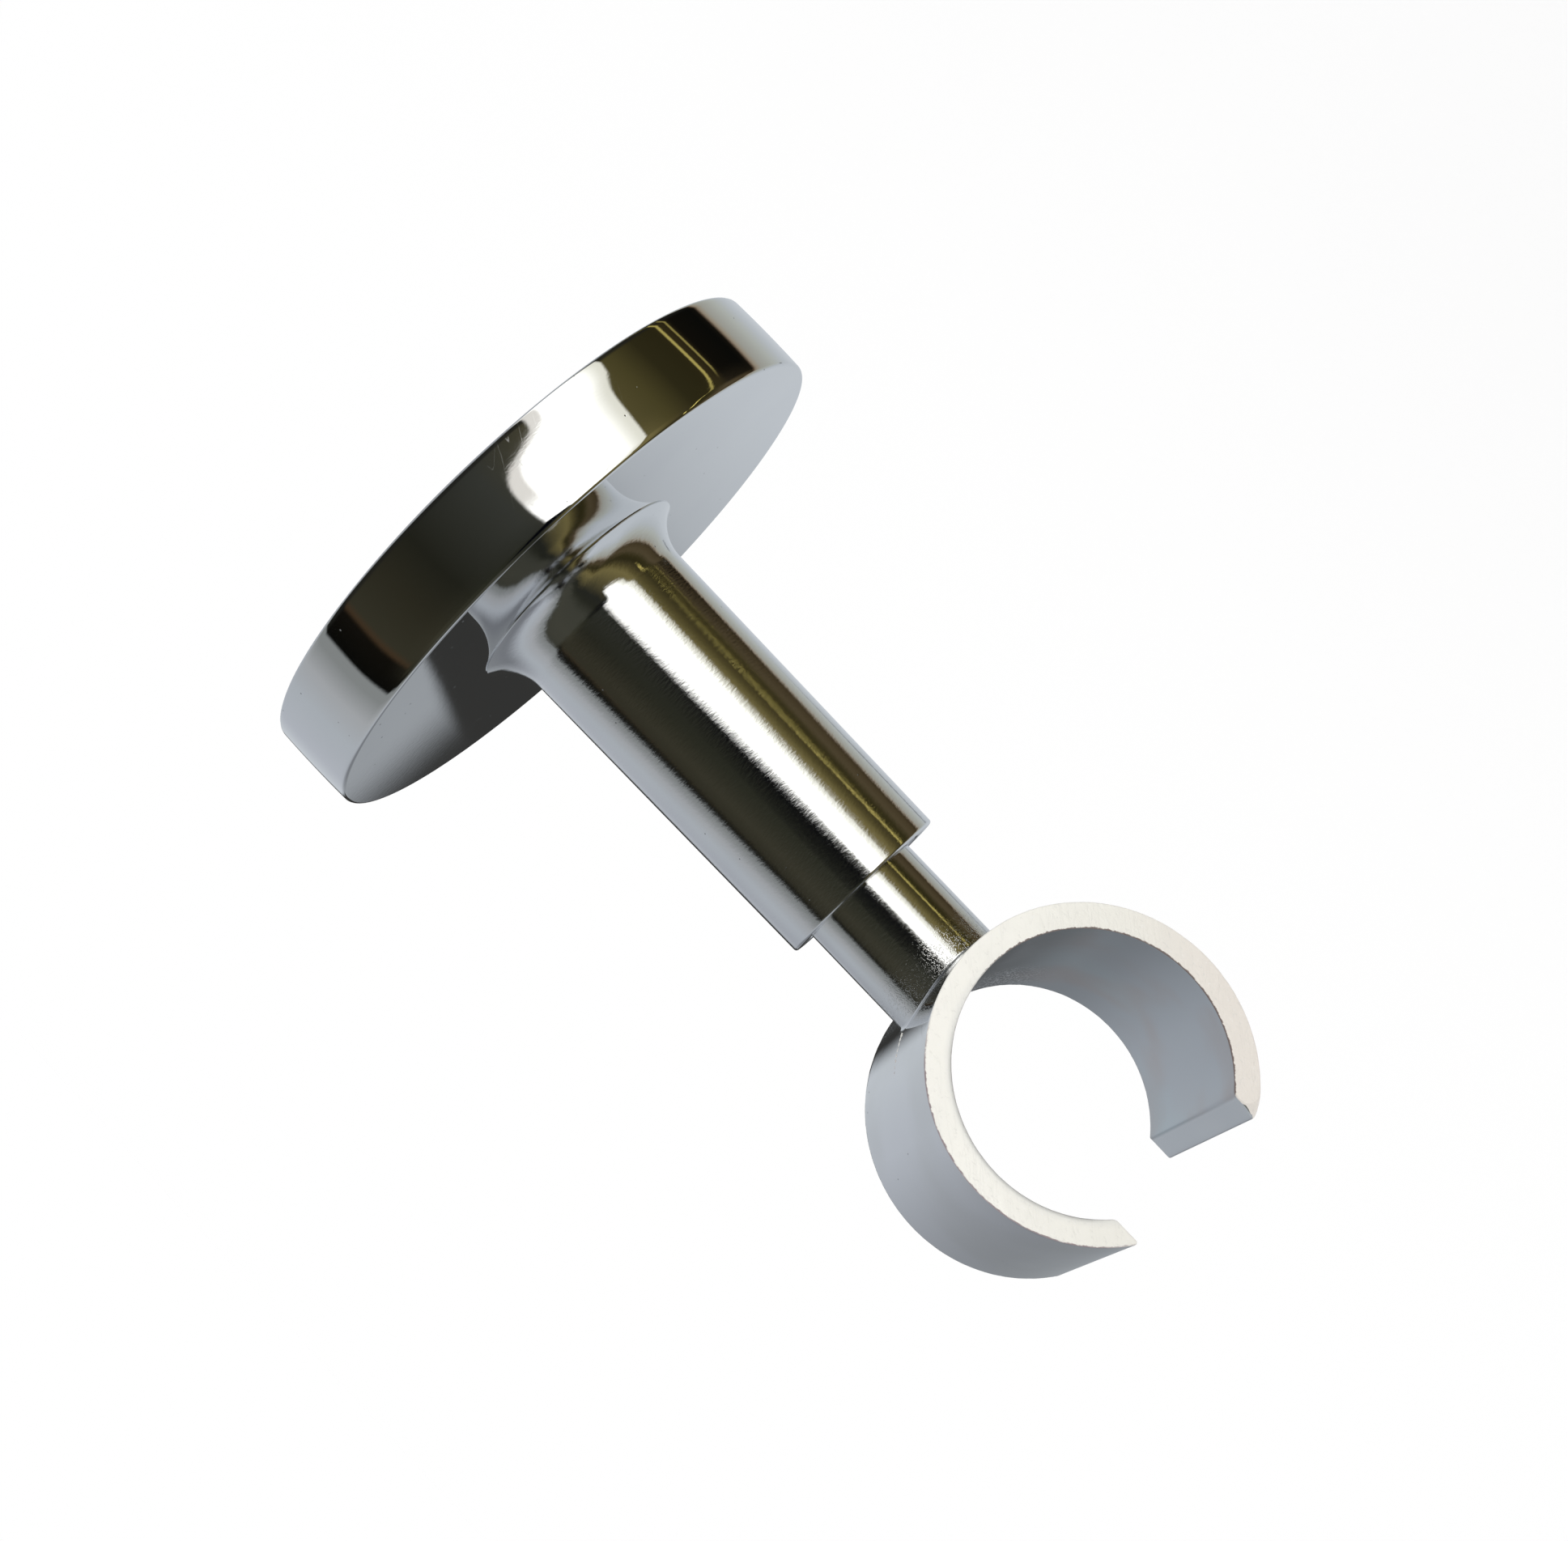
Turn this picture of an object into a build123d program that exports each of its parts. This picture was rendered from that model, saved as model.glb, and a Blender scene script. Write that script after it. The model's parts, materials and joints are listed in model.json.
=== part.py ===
from build123d import *
import os

# Curtain pole bracket. The wall is the plane Y = 0 and the post stands out from it along -Y.
# The pole lies along X, through the open ring at the end of the sliding stem. Z is up.
# The origin is the centre of the face that meets the wall. All sizes are in millimetres.

# Cover rose, a shallow cup that hides the wall plate
rose_diameter = 65.7
rose_depth = 9.8
rose_front_wall = 2.4
rose_rim_wall = 2.2
rose_front_edge = 0.8
rose_back_edge = 0.3

# Wall plate, a cast disc inside the rose
plate_thickness = 6.4
plate_clearance = 0.3
plate_edge = 0.6
plate_pocket_diameter = 20.0
plate_pocket_floor = 1.6
plate_groove_depth = 1.2
wall_screw_pitch = 42.0
wall_screw_hole = 4.5
wall_screw_head = 9.0
wall_screw_angle = 90.0

# Post, a tapered tube with a trumpet foot
post_reach = 53.2
post_foot_diameter = 20.2
post_mouth_diameter = 19.5
post_foot_wall = 5.0
post_mouth_edge = 0.3
flare_diameter = 26.2
flare_length = 5.0
flare_lip = 0.25

# Stem and pole ring, one casting. The clamp screw lifts the stem against the top of the post's bore
stem_diameter = 13.7
stem_lift = 0.6
stem_running_clearance = 0.1
stem_end_edge = 0.8
ring_projection = 82.4
pole_diameter = 28.0
pole_clearance = 0.5
ring_wall = 2.75
ring_width = 26.5
ring_mouth = 17.9
ring_face_edge = 0.2
worn_corner = 0.9
crisp_corner = 0.25
saddle_fillet = 0.4

# Travel of the stem in the post, and the room left behind it
travel_in = 11.0
travel_out = 12.0
stem_end_gap = 1.0

# Clamp screw under the post, with a dog point that runs in a groove under the stem
clamp_thread = 5.0
clamp_length = 4.0
clamp_socket = 2.5
clamp_socket_depth = 1.6
clamp_from_mouth = 8.2
dog_diameter = 3.5
dog_length = 1.4
dog_side_clearance = 0.3
dog_floor_gap = 0.1
groove_depth = 1.2

# Rim screw under the rose, with a cone point that sits in the wall plate's groove
rim_thread = 4.0
rim_length = 3.0
rim_socket = 2.0
rim_socket_depth = 1.3
rim_screw_from_wall = 4.2
rim_point_diameter = 0.8
rim_point_gap = 0.1

# Button head screw and split washer that hold the post on the rose
screw_thread = 6.0
screw_length = 8.0
screw_hole_clearance = 0.2
screw_head_diameter = 10.5
screw_head_height = 3.3
screw_head_round = 2.0
screw_socket = 4.0
screw_socket_depth = 1.9
screw_tip_edge = 0.6
washer_diameter = 10.2
washer_thickness = 1.3
washer_split = 0.8
washer_split_angle = 25.0

# Radial gap of a screw in its tapped hole, both drawn without the thread
thread_gap = 0.05

# Radii and places that follow from the sizes above, places as distances out from the wall
rose_radius = rose_diameter / 2
rose_inner_radius = rose_radius - rose_rim_wall
rose_inner_face = rose_depth - rose_front_wall
plate_radius = rose_inner_radius - plate_clearance
plate_groove_radius = plate_radius - plate_groove_depth
stem_radius = stem_diameter / 2
post_bore_radius = stem_radius + stem_lift + stem_running_clearance
post_bore_bottom = rose_depth + post_foot_wall
stem_back = post_bore_bottom + stem_end_gap + travel_in
ring_bore_radius = pole_diameter / 2 + pole_clearance
ring_radius = ring_bore_radius + ring_wall
screw_tap_radius = screw_thread / 2 + thread_gap
screw_hole_radius = screw_thread / 2 + screw_hole_clearance
screw_seat = rose_inner_face - washer_thickness

# Depths below the post's axis of what meets the clamp screw, and the groove that lets its point travel
clamp_place = post_reach - clamp_from_mouth
groove_floor = stem_radius - stem_lift - groove_depth
dog_tip = groove_floor + dog_floor_gap
clamp_shoulder = dog_tip + dog_length
clamp_head = dog_tip + clamp_length
groove_half_width = dog_diameter / 2 + dog_side_clearance
groove_start = clamp_place - travel_out - groove_half_width
groove_end = clamp_place + travel_in + groove_half_width

# The rim screw's cone stops where its flanks meet the groove's
rim_tip = plate_groove_radius + rim_point_diameter / 2 + rim_point_gap
rim_point_length = (rim_thread - rim_point_diameter) / 2
rim_head = rim_tip + rim_length

# Cover rose: a turned cup, open to the wall, drilled at its centre and tapped under its rim
with BuildPart() as cover_rose:
    with BuildSketch(Plane.XY):
        with BuildLine():
            Polyline(
                (0, -rose_depth),
                (rose_radius, -rose_depth),
                (rose_radius, 0),
                (rose_inner_radius, 0),
                (rose_inner_radius, -rose_inner_face),
                (0, -rose_inner_face),
                close=True,
            )
        make_face()
    revolve(axis=Axis.Y)
    fillet(cover_rose.faces().sort_by(Axis.Y)[0].edges(), radius=rose_front_edge)
    fillet(cover_rose.faces().sort_by(Axis.Y)[-1].outer_wire().edges(), radius=rose_back_edge)
    with BuildSketch(Plane.XZ):
        Circle(screw_hole_radius)
    extrude(amount=rose_depth, mode=Mode.SUBTRACT)
    with BuildSketch(Plane.XY.offset(-rose_radius)):
        with Locations((0, -rim_screw_from_wall)):
            Circle(rim_thread / 2 + thread_gap)
    extrude(amount=2 * rose_rim_wall, mode=Mode.SUBTRACT)

# Wall plate: a disc with two countersunk holes, a pocket for the post's screw and a groove round its rim
with BuildPart() as wall_plate:
    with BuildSketch(Plane.XZ):
        Circle(plate_radius)
    extrude(amount=plate_thickness)
    chamfer(wall_plate.faces().sort_by(Axis.Y)[0].edges(), length=plate_edge)
    with BuildSketch(Plane.XZ.offset(plate_pocket_floor)):
        Circle(plate_pocket_diameter / 2)
    extrude(amount=plate_thickness, mode=Mode.SUBTRACT)
    with BuildSketch(Plane.XY):
        with BuildLine():
            Polyline(
                (plate_groove_radius, -rim_screw_from_wall),
                (plate_radius + plate_groove_depth, -rim_screw_from_wall + 2 * plate_groove_depth),
                (plate_radius + plate_groove_depth, -rim_screw_from_wall - 2 * plate_groove_depth),
                close=True,
            )
        make_face()
    revolve(axis=Axis.Y, mode=Mode.SUBTRACT)
    with Locations(Plane.XZ.offset(plate_thickness)):
        with GridLocations(wall_screw_pitch, 1, 2, 1):
            CounterSinkHole(
                radius=wall_screw_hole / 2,
                counter_sink_radius=wall_screw_head / 2,
                counter_sink_angle=wall_screw_angle,
            )

# Post: a turned tube, bored from its mouth for the stem and tapped through its foot
with BuildPart() as post:
    with BuildSketch(Plane.XY):
        with BuildLine():
            side = Line(
                (post_mouth_diameter / 2, -post_reach),
                (post_foot_diameter / 2, -rose_depth - flare_length),
            )
            flare = TangentArc(side @ 1, (flare_diameter / 2, -rose_depth - flare_lip), tangent=side % 1)
            Polyline(
                flare @ 1,
                (flare_diameter / 2, -rose_depth),
                (screw_tap_radius, -rose_depth),
                (screw_tap_radius, -post_bore_bottom),
                (post_bore_radius, -post_bore_bottom),
                (post_bore_radius, -post_reach),
                side @ 0,
            )
        make_face()
    revolve(axis=Axis.Y)
    post_mouth = post.faces().sort_by(Axis.Y)[0]
    fillet(post_mouth.outer_wire().edges(), radius=post_mouth_edge)
    post_mouth = post.faces().sort_by(Axis.Y)[0]
    chamfer(post_mouth.inner_wires()[0].edges(), length=post_mouth_edge)
    with BuildSketch(Plane.XY.offset(-post_foot_diameter)):
        with Locations((0, -clamp_place)):
            Circle(clamp_thread / 2 + thread_gap)
    extrude(amount=post_foot_diameter, mode=Mode.SUBTRACT)

# Pole ring: a split ring cast on the end of the stem. The split's corners are crisp, but for one worn round
with BuildPart() as pole_ring:
    with BuildSketch(Plane.XZ.offset(stem_back)):
        with Locations((0, stem_lift)):
            Circle(stem_radius)
    extrude(amount=ring_projection - stem_back)
    chamfer(pole_ring.faces().sort_by(Axis.Y)[-1].edges(), length=stem_end_edge)
    with BuildSketch(Plane.YZ):
        with Locations((-ring_projection, stem_lift)):
            Circle(ring_radius)
    extrude(amount=ring_width / 2, both=True)
    saddle = pole_ring.edges().filter_by(lambda edge: edge.geom_type not in (GeomType.CIRCLE, GeomType.LINE))
    fillet(saddle, radius=saddle_fillet)
    with BuildSketch(Plane.YZ):
        with Locations((-ring_projection, stem_lift)):
            Circle(ring_bore_radius)
        with Locations((-ring_projection - ring_radius, stem_lift)):
            Rectangle(2 * ring_radius, ring_mouth)
    extrude(amount=ring_width, both=True, mode=Mode.SUBTRACT)
    beyond_the_bore = (Axis.Y, -ring_projection - 2 * ring_radius, -ring_projection)
    corners = pole_ring.edges().filter_by(Axis.X).filter_by_position(*beyond_the_bore).sort_by(Axis.Y)
    outer_corners = corners[:2].sort_by(Axis.Z)
    inner_corners = corners[2:].sort_by(Axis.Z)
    fillet(inner_corners[1], radius=worn_corner)
    fillet([outer_corners[0], outer_corners[1], inner_corners[0]], radius=crisp_corner)
    ring_ends = pole_ring.faces().filter_by(Axis.X).sort_by(Axis.X)
    fillet(ring_ends[0].edges() + ring_ends[-1].edges(), radius=ring_face_edge)
    with BuildSketch(Plane.XY.offset(-groove_floor)):
        with Locations((0, -(groove_start + groove_end) / 2)):
            SlotOverall(groove_end - groove_start, 2 * groove_half_width, rotation=90)
    extrude(amount=-stem_radius, mode=Mode.SUBTRACT)

# Clamp screw: a socket set screw with a dog point, up through the underside of the post
with BuildPart() as stem_grub_screw:
    with BuildSketch(Plane.XY.offset(-clamp_head)):
        with Locations((0, -clamp_place)):
            Circle(clamp_thread / 2)
    extrude(amount=clamp_head - clamp_shoulder)
    with BuildSketch(Plane.XY.offset(-clamp_shoulder)):
        with Locations((0, -clamp_place)):
            Circle(dog_diameter / 2)
    extrude(amount=dog_length)
    with BuildSketch(Plane.XY.offset(-clamp_head)):
        with Locations((0, -clamp_place)):
            RegularPolygon(clamp_socket / 2, 6, major_radius=False)
    extrude(amount=clamp_socket_depth, mode=Mode.SUBTRACT)

# Rim screw: a socket set screw with a cone point, up through the underside of the rose
with BuildPart() as rose_grub_screw:
    with BuildSketch(Plane.XY.offset(-rim_head)):
        with Locations((0, -rim_screw_from_wall)):
            Circle(rim_thread / 2)
    extrude(amount=rim_length)
    chamfer(rose_grub_screw.faces().sort_by(Axis.Z)[-1].edges(), length=rim_point_length)
    with BuildSketch(Plane.XY.offset(-rim_head)):
        with Locations((0, -rim_screw_from_wall)):
            RegularPolygon(rim_socket / 2, 6, major_radius=False)
    extrude(amount=rim_socket_depth, mode=Mode.SUBTRACT)

# Post screw: a button head screw from inside the rose into the foot of the post
with BuildPart() as post_screw:
    with BuildSketch(Plane.XZ.offset(screw_seat - screw_head_height)):
        Circle(screw_head_diameter / 2)
    extrude(amount=screw_head_height)
    fillet(post_screw.faces().sort_by(Axis.Y)[-1].edges(), radius=screw_head_round)
    with BuildSketch(Plane.XZ.offset(screw_seat)):
        Circle(screw_thread / 2)
    extrude(amount=screw_length)
    chamfer(post_screw.faces().sort_by(Axis.Y)[0].edges(), length=screw_tip_edge)
    with BuildSketch(Plane.XZ.offset(screw_seat - screw_head_height)):
        RegularPolygon(screw_socket / 2, 6, major_radius=False)
    extrude(amount=screw_socket_depth, mode=Mode.SUBTRACT)

# Lock washer: a flat ring, split on the slant
with BuildPart() as lock_washer:
    with BuildSketch(Plane.XZ.offset(screw_seat)):
        Circle(washer_diameter / 2)
        Circle(screw_hole_radius, mode=Mode.SUBTRACT)
    extrude(amount=washer_thickness)
    with BuildSketch(Plane.YZ):
        with Locations((-screw_seat - washer_thickness / 2, 0)):
            Rectangle(2 * washer_thickness, washer_split, rotation=washer_split_angle)
    extrude(amount=washer_diameter, mode=Mode.SUBTRACT)

cover_rose.part.label = "cover_rose"
wall_plate.part.label = "wall_plate"
post.part.label = "post"
pole_ring.part.label = "pole_ring"
stem_grub_screw.part.label = "stem_grub_screw"
rose_grub_screw.part.label = "rose_grub_screw"
post_screw.part.label = "post_screw"
lock_washer.part.label = "lock_washer"

os.makedirs("parts", exist_ok=True)
export_step(cover_rose.part, "parts/cover_rose.step")
export_step(wall_plate.part, "parts/wall_plate.step")
export_step(post.part, "parts/post.step")
export_step(pole_ring.part, "parts/pole_ring.step")
export_step(stem_grub_screw.part, "parts/stem_grub_screw.step")
export_step(rose_grub_screw.part, "parts/rose_grub_screw.step")
export_step(post_screw.part, "parts/post_screw.step")
export_step(lock_washer.part, "parts/lock_washer.step")
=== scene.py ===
import json
import math

import bmesh
import bpy
from mathutils import Matrix, Quaternion, Vector, noise


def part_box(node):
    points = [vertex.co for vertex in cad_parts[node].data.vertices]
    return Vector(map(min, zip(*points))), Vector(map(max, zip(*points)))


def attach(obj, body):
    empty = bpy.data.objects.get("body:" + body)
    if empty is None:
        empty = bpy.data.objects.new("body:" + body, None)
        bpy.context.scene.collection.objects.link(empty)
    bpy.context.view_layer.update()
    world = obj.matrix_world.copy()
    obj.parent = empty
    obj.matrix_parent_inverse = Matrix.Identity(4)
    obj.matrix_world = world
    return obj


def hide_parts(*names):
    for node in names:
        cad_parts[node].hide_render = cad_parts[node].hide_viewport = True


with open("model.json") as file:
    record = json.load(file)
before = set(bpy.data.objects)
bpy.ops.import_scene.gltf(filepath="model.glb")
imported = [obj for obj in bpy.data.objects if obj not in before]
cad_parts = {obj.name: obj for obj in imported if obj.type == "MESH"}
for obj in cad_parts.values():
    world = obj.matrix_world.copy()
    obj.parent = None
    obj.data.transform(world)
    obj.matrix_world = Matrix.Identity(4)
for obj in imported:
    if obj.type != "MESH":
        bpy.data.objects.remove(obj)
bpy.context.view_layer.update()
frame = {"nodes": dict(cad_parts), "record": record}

mm = 0.001
near = 0.002 * mm  # how close a corner lies to the place that picks it
fullTurn = 2 * math.pi
turnSides = 256  # sides of the big round pieces
drillSides = 48
sharpAngle = math.radians(40)
mounts = {mount["name"]: mount for mount in frame["record"]["mounts"]}
slotColours = {entry["slot"]: entry["base_color"] for entry in frame["record"]["materials"]}
poleAxis = Vector(mounts["pole_bore"]["pos_m"])
boreRadius = mounts["pole_bore"]["dims"]["r_mm"] * mm
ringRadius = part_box("pole_ring")[1].z - poleAxis.z
alongX = Vector((1, 0, 0))
alongY = Vector((0, 1, 0))
alongZ = Vector((0, 0, 1))


# Mesh helpers, all on bmesh operators

def finishPiece(shape, name, materials, body, replaced=None):
    bmesh.ops.remove_doubles(shape, verts=shape.verts, dist=near)
    bmesh.ops.recalc_face_normals(shape, faces=shape.faces)
    mesh = bpy.data.meshes.new(name)
    shape.to_mesh(mesh)
    shape.free()
    for material in materials:
        mesh.materials.append(material)
    piece = bpy.data.objects.new(name, mesh)
    bpy.context.scene.collection.objects.link(piece)
    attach(piece, body)
    if replaced:
        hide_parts(replaced)
    return piece


def applyModifiers(piece):
    graph = bpy.context.evaluated_depsgraph_get()
    mesh = bpy.data.meshes.new_from_object(piece.evaluated_get(graph))
    piece.modifiers.clear()
    piece.data = mesh


def cutAway(piece, cutterShape):
    mesh = bpy.data.meshes.new("cutter")
    bmesh.ops.recalc_face_normals(cutterShape, faces=cutterShape.faces)
    cutterShape.to_mesh(mesh)
    cutterShape.free()
    cutter = bpy.data.objects.new("cutter", mesh)
    bpy.context.scene.collection.objects.link(cutter)
    cut = piece.modifiers.new("cut", "BOOLEAN")
    cut.operation = "DIFFERENCE"
    cut.solver = "EXACT"
    cut.object = cutter
    applyModifiers(piece)
    bpy.data.objects.remove(cutter)


def smoothFaces(piece):
    piece.data.shade_smooth()
    piece.data.set_sharp_from_angle(angle=sharpAngle)
    weighted = piece.modifiers.new("flatFacesStayFlat", "WEIGHTED_NORMAL")
    weighted.mode = "FACE_AREA"
    weighted.weight = 50
    weighted.keep_sharp = True
    applyModifiers(piece)


def drawProfile(shape, corners):
    # one open line of corners in the XY plane, radius along X and distance from the wall along -Y
    verts = [shape.verts.new((radius, -out, 0)) for radius, out in corners]
    for pair in zip(verts, verts[1:]):
        shape.edges.new(pair)
    return verts


def turn(shape):
    bmesh.ops.spin(
        shape, geom=shape.verts[:] + shape.edges[:], cent=(0, 0, 0), axis=alongY, angle=fullTurn,
        steps=turnSides, use_merge=True,
    )


def rimEdges(shape, radius, out):
    def onRim(vert):
        flat = math.hypot(vert.co.x, vert.co.z)
        return abs(flat - radius) < near and abs(vert.co.y + out) < near
    return [edge for edge in shape.edges if all(onRim(vert) for vert in edge.verts)]


def roundEdges(shape, edges, size, segments):
    made = bmesh.ops.bevel(
        shape, geom=edges, offset=size, offset_type="OFFSET", segments=segments, profile=0.5,
        affect="EDGES", material=-1,
    )
    return made["faces"]


def upwardDrill(radius, out, low, high, length=0.0):
    # a round cutter that stands along Z below the axis, at that distance out from the wall. With a length it
    # cuts a slot along the post
    shape = bmesh.new()
    place = Matrix.Translation((0, -out, (low + high) / 2))
    bmesh.ops.create_cone(
        shape, cap_ends=True, segments=drillSides, radius1=radius, radius2=radius, depth=high - low,
        matrix=place,
    )
    for vert in shape.verts:
        vert.co.y += math.copysign(length / 2, vert.co.y + out)
    return shape


# Node helpers

def addNode(tree, kind, inputs=None, **settings):
    made = tree.nodes.new(kind)
    for name, value in settings.items():
        setattr(made, name, value)
    for socket, value in (inputs or {}).items():
        if isinstance(value, bpy.types.NodeSocket):
            tree.links.new(value, made.inputs[socket])
        else:
            made.inputs[socket].default_value = value
    return made


def calc(tree, operation, *values):
    return addNode(tree, "ShaderNodeMath", dict(enumerate(values)), operation=operation).outputs[0]


def times(tree, value, *factors):
    for factor in factors:
        value = calc(tree, "MULTIPLY", value, factor)
    return value


def minus(tree, first, second):
    return calc(tree, "SUBTRACT", first, second)


def remap(tree, value, low, high, toLow=0.0, toHigh=1.0, smooth=True):
    made = addNode(
        tree, "ShaderNodeMapRange",
        {"Value": value, "From Min": low, "From Max": high, "To Min": toLow, "To Max": toHigh},
        interpolation_type="SMOOTHSTEP" if smooth else "LINEAR", clamp=True,
    )
    return made.outputs["Result"]


def mixColours(tree, factor, first, second):
    made = addNode(tree, "ShaderNodeMix", {0: factor, 6: first, 7: second}, data_type="RGBA")
    return made.outputs[2]


def colourRamp(tree, factor, stops):
    ramp = addNode(tree, "ShaderNodeValToRGB", {"Fac": factor})
    elements = ramp.color_ramp.elements
    while len(elements) < len(stops):
        elements.new(0.5)
    for element, (place, colour) in zip(elements, sorted(stops.items())):
        element.position = place
        element.color = colour
    return ramp.outputs["Color"]


# Studio: what the chrome mirrors, by direction. "around" turns about the post's axis in degrees, with 0 along
# the pole and 90 up; "along" tilts towards the wall. A curve gives a direction around for some tilts along.
# Colours are as seen on screen

studio = {
    "gain": 1.24,  # the chrome gives back about four fifths of the light
    "paleStart": {-90: 60, -75: 60, -60: 67, -50: 83, -40: 88, -30: 92, 0: 91, 5: 95, 13: 102, 90: 102},
    "paleEnd": {
        -90: 300, -75: 305, -60: 316, -50: 293, -40: 281, -30: 276, -15: 270, 1: 268, 5: 263, 13: 258,
        90: 258,
    },
    "goldLine": {-90: 305, 2: 305, 3.7: 302.5, 5: 300, 8: 293.7, 9.4: 286, 10.5: 284, 90: 284},
    "secondGold": -5.0,  # how far the second gold line stands from the first
    "lampStart": {
        -90: 360, -24: 360, -14: 340, -3: 332, 1: 332, 2.2: 333, 3.6: 329.5, 5: 327, 9: 323, 11: 322, 14: 320,
        16: 315, 90: 312,
    },
    "lampEnd": {
        -90: 350, -24: 350, -16: 358, -6: 361, 2: 361, 5: 366, 9: 372, 12: 373, 14: 371, 15: 366, 16.5: 352,
        90: 350,
    },
    "lampLow": -19,
    "lampBarAt": 18.0,  # from the start of the lamp
    "blackWidth": 35.0,
    "gapStart": {-90: 175, 5: 175, 8: 178, 11: 184, 16: 187, 90: 187},
    "gapEnd": 199.5,
    "threadAt": 238.5,
    "paleBand": {
        98: (128, 131, 130), 112: (161, 163, 165), 130: (168, 173, 178), 160: (171, 175, 182),
        180: (183, 188, 193), 225: (183, 188, 193), 236: (175, 180, 184), 248: (167, 170, 164),
        260: (152, 151, 142), 263: (147, 138, 122), 266: (118, 99, 80),
    },
    "postDark": {
        262: (44, 36, 24), 267: (66, 56, 38), 280: (77, 67, 48), 290: (50, 45, 24), 298: (42, 38, 20),
        304: (58, 52, 32), 312: (80, 72, 42), 321: (112, 102, 64), 368: (35, 36, 31), 382: (37, 38, 30),
        398: (40, 41, 32), 426: (55, 53, 42), 442: (46, 44, 34), 447: (24, 23, 18), 452: (12, 12, 9),
    },
    "rimDark": {
        262: (20, 17, 12), 266: (10, 10, 8), 279: (15, 13, 9), 284: (46, 39, 21), 290: (40, 36, 19),
        300: (44, 40, 22), 311: (70, 64, 36), 321: (80, 73, 44), 374: (52, 53, 48), 404: (31, 31, 24),
        420: (42, 40, 30), 436: (50, 48, 37), 438.6: (62, 48, 33), 440.6: (16, 14, 10), 452: (9, 9, 7),
    },
    "goldColour": (166, 152, 84),
    "lampEdge": (226, 224, 210),
    "lampHeart": (255, 254, 248),
    "lampBar": (238, 237, 230),
    "lampEndEdge": (226, 222, 214),
    "lampShadow": (3, 4, 8),
    "gapColour": (48, 48, 47),
    "thread": (62, 64, 66),
    "softRoom": (66, 66, 58),
    "flareRoom": (30, 30, 27),
    "outwardCap": (56, 56, 51),
    "wallCap": (160, 163, 166),
}


def linear(colour, brighter):
    # a colour as seen on screen, 0 to 255, as the studio's light
    def light(part):
        return part / 12.92 if part <= 0.04045 else ((part + 0.055) / 1.055) ** 2.4
    return [brighter * studio["gain"] * light(part / 255) for part in colour] + [1.0]


def seen(name, brighter=1.0):
    return linear(studio[name], brighter)


def seenStops(name, low, high):
    # the stops of a ramp that runs from one direction around to another
    return {(place - low) / (high - low): linear(colour, 1.0) for place, colour in studio[name].items()}


def directionCurve(tree, along, name):
    # a direction around the post, in degrees, that changes with the tilt along it
    share = calc(tree, "DIVIDE", calc(tree, "ADD", along, 90.0), 180.0)
    curve = addNode(tree, "ShaderNodeFloatCurve", {"Value": share})
    line = curve.mapping.curves[0]
    places = [((tilt + 90) / 180, direction / 400) for tilt, direction in sorted(studio[name].items())]
    line.points[0].location, line.points[1].location = places[0], places[-1]
    for place in places[1:-1]:
        line.points.new(*place)
    for point in line.points:
        point.handle_type = "AUTO_CLAMPED"
    curve.mapping.update()
    return times(tree, curve.outputs["Value"], 400.0)


def makePaleBackdrop(tree, around, along, paleStart, paleEnd):
    # the pale backdrop behind the bracket: its colour, and where it is seen
    past = minus(tree, around, paleStart)
    width = minus(tree, paleEnd, paleStart)
    left = minus(tree, width, past)
    pale = colourRamp(tree, calc(tree, "DIVIDE", past, width), seenStops("paleBand", 92, 266))
    soft = remap(tree, along, 10.0, 2.0, 1.2, 3.4)
    paleMask = remap(tree, past, times(tree, soft, -1.0), soft)
    paleMask = times(tree, paleMask, remap(tree, left, -1.2, 1.8))

    # it grows darker low down
    lower = remap(tree, along, 10.0, -20.0, 0.0, 0.58, smooth=False)
    lower = times(tree, lower, remap(tree, around, 128.0, 162.0))
    lower = times(tree, lower, remap(tree, around, 206.0, 198.0))
    pale = mixColours(tree, lower, pale, (0, 0, 0, 1))

    # a dark gap stands straight behind the bracket
    gapEnd = studio["gapEnd"]
    gapMask = remap(tree, minus(tree, around, directionCurve(tree, along, "gapStart")), -2.5, 5.0)
    gapMask = times(tree, gapMask, remap(tree, around, gapEnd + 2.5, gapEnd - 2.5))
    gapFloor = remap(tree, around, 195.2, 197.4, -10.3, -16.0)
    gapMask = times(tree, gapMask, remap(tree, minus(tree, along, gapFloor), -0.5, 0.6))
    pale = mixColours(tree, gapMask, pale, seen("gapColour"))

    # and one thin dark thread, which shows near the edge of the post
    fromThread = calc(tree, "ABSOLUTE", minus(tree, around, studio["threadAt"]))
    threadMask = times(tree, remap(tree, fromThread, 1.9, 0.4, 0.0, 0.8), remap(tree, along, 6.0, 3.5))
    threadMask = times(tree, threadMask, remap(tree, along, -4.0, -2.5))
    return mixColours(tree, threadMask, pale, seen("thread")), paleMask


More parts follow.
